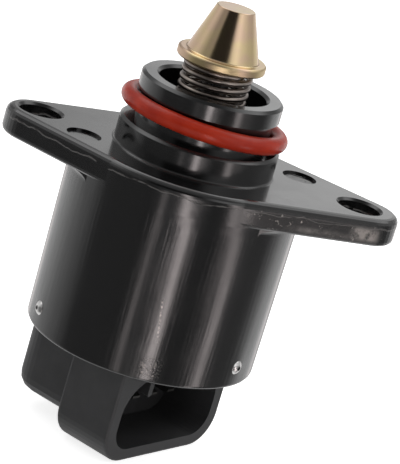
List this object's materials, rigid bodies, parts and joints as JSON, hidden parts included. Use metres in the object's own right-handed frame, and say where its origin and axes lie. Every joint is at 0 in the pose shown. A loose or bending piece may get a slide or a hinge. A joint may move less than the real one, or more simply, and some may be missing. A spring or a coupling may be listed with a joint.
{
  "type": "idle air control valve",
  "caption": "Stepper motor valve for engine idle air: a tapered pintle on a lead screw, in a flanged casting with a sealed nose and a side connector.",
  "frame": {"origin": "where the valve axis meets the flange's mating face", "axes": "+Z along the valve axis towards the pintle, +X along the flange's long side towards the bolt hole that lies further from the axis"},
  "size_m": [0.0561, 0.0333, 0.0635],
  "materials": {
    "cast_black": "semi-gloss black coating on a die casting",
    "seal_red": "satin red silicone",
    "pintle_brass": "turned, yellow passivated",
    "spring_steel": "dark drawn wire",
    "screw_steel": "ground",
    "white_nylon": "moulded nylon",
    "bearing_steel": "ground and polished",
    "magnet_ferrite": "sintered",
    "hub_plastic": "moulded",
    "nut_brass": "turned",
    "bush_bronze": "sintered",
    "stator_steel": "zinc plated sheet",
    "winding_copper": "enamelled wire",
    "cap_plastic": "moulded, matte",
    "seal_black": "satin",
    "terminal_tin": "tin plated",
    "pin_steel": "polished"
  },
  "bodies": {
    "valve_body": {"housing": "cast_black", "o_ring": "seal_red", "pintle_spring": "spring_steel", "guide_bush": "white_nylon", "bearing_outer_race": "bearing_steel", "bearing_balls": "bearing_steel", "bearing_cage": "white_nylon", "rear_bush": "bush_bronze", "stator_cup_front": "stator_steel", "stator_cup_rear": "stator_steel", "pole_plate_front": "stator_steel", "pole_plate_rear": "stator_steel", "bobbin_front": "white_nylon", "bobbin_rear": "white_nylon", "winding_front": "winding_copper", "winding_rear": "winding_copper", "wave_washer": "spring_steel", "end_cap": "cap_plastic", "cap_seal": "seal_black", "terminal_1": "terminal_tin", "terminal_2": "terminal_tin", "terminal_3": "terminal_tin", "terminal_4": "terminal_tin", "retainer_pins": "pin_steel"},
    "rotor": {"rotor_magnet": "magnet_ferrite", "rotor_hub": "hub_plastic", "rotor_nut": "nut_brass", "bearing_inner_race": "bearing_steel"},
    "plunger": {"pintle": "pintle_brass", "lead_screw": "screw_steel"}
  },
  "joints": [
    {"name": "rotor_spin", "type": "hinge", "parent": "valve_body", "child": "rotor", "pos_m": [0, 0, -0.012], "axis": [0, 0, 1], "range_deg": [-2880, 0]},
    {"name": "pintle_slide", "type": "slide", "parent": "valve_body", "child": "plunger", "axis": [0, 0, 1], "range_m": [0, 0.008], "deforming": ["pintle_spring"]}
  ],
  "couplings": [
    {"joint": "pintle_slide", "follows": "rotor_spin", "m_per_rad": -0.00015915}
  ]
}
